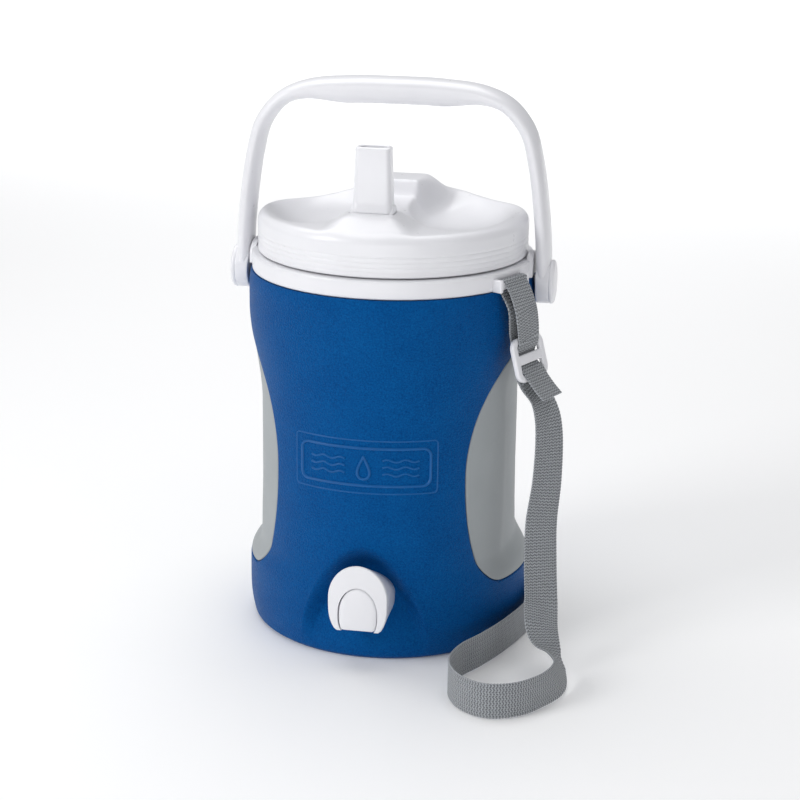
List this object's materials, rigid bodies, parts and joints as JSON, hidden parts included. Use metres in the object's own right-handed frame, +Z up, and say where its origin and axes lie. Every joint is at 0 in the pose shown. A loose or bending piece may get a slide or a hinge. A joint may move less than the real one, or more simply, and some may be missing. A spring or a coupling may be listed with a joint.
{
  "type": "insulated beverage dispenser",
  "caption": "Insulated drinks jug with waisted grip panels, screw-in lid with flip spout, push-button spigot, swinging bail handle and detachable webbing shoulder strap.",
  "frame": {"origin": "centre of the flat base, on the table", "axes": "+Z up, -Y towards the spigot and the spout, +X to the right seen from the front; the bail handle turns about X"},
  "size_m": [0.2402, 0.2678, 0.3607],
  "materials": {
    "shell_blue": "fine pebbled satin",
    "white_plastic": "semi-gloss moulded",
    "grip_grey": "matte soft-touch",
    "webbing": "woven polypropylene twill",
    "foam": "open-cell poured foam",
    "seal_rubber": "matte",
    "pin_steel": "drawn wire"
  },
  "bodies": {
    "jug": {"outer_shell": "shell_blue", "foam_insulation": "foam", "foam_fill_plug": "seal_rubber", "inner_liner": "white_plastic", "grip_panel_right": "grip_grey", "grip_panel_left": "grip_grey", "collar_ring": "white_plastic", "pivot_pin_right": "pin_steel", "pivot_pin_left": "pin_steel", "spigot_housing": "white_plastic", "return_spring": "pin_steel", "spigot_gasket": "seal_rubber", "spigot_nut": "white_plastic", "shoulder_strap": "webbing", "strap_buckle": "white_plastic"},
    "bail": {"bail_handle": "white_plastic", "hub_cap_right": "white_plastic", "hub_cap_left": "white_plastic"},
    "lid_insert": {"lid_plug": "white_plastic", "lid_foam": "foam", "lid_gasket": "seal_rubber"},
    "lid_cover": {"lid_shell": "white_plastic", "spout_pin": "pin_steel", "spout_seal": "seal_rubber"},
    "flip_spout": {"spout": "white_plastic"},
    "push_button": {"spigot_button": "white_plastic", "valve_stem": "white_plastic", "valve_seal": "seal_rubber"}
  },
  "joints": [
    {"name": "bail_swing", "type": "hinge", "parent": "jug", "child": "bail", "pos_m": [0, 0, 0.233], "axis": [1, 0, 0], "range_deg": [-90, 12]},
    {"name": "lid_lift", "type": "slide", "parent": "jug", "child": "lid_insert", "axis": [0, 0, 1], "range_m": [0, 0.023]},
    {"name": "lid_turn", "type": "hinge", "parent": "lid_insert", "child": "lid_cover", "pos_m": [0, 0, 0.2755], "axis": [0, 0, 1], "range_deg": [0, 180]},
    {"name": "spout_flip", "type": "hinge", "parent": "lid_cover", "child": "flip_spout", "pos_m": [-0.003, -0.052, 0.28], "axis": [1, 0, 0], "range_deg": [-70, 0]},
    {"name": "button_push", "type": "slide", "parent": "jug", "child": "push_button", "axis": [0, 1, 0], "range_m": [0, 0.004], "stiffness_N_per_m": 400, "springref_m": -0.002, "deforming": ["return_spring"]}
  ]
}
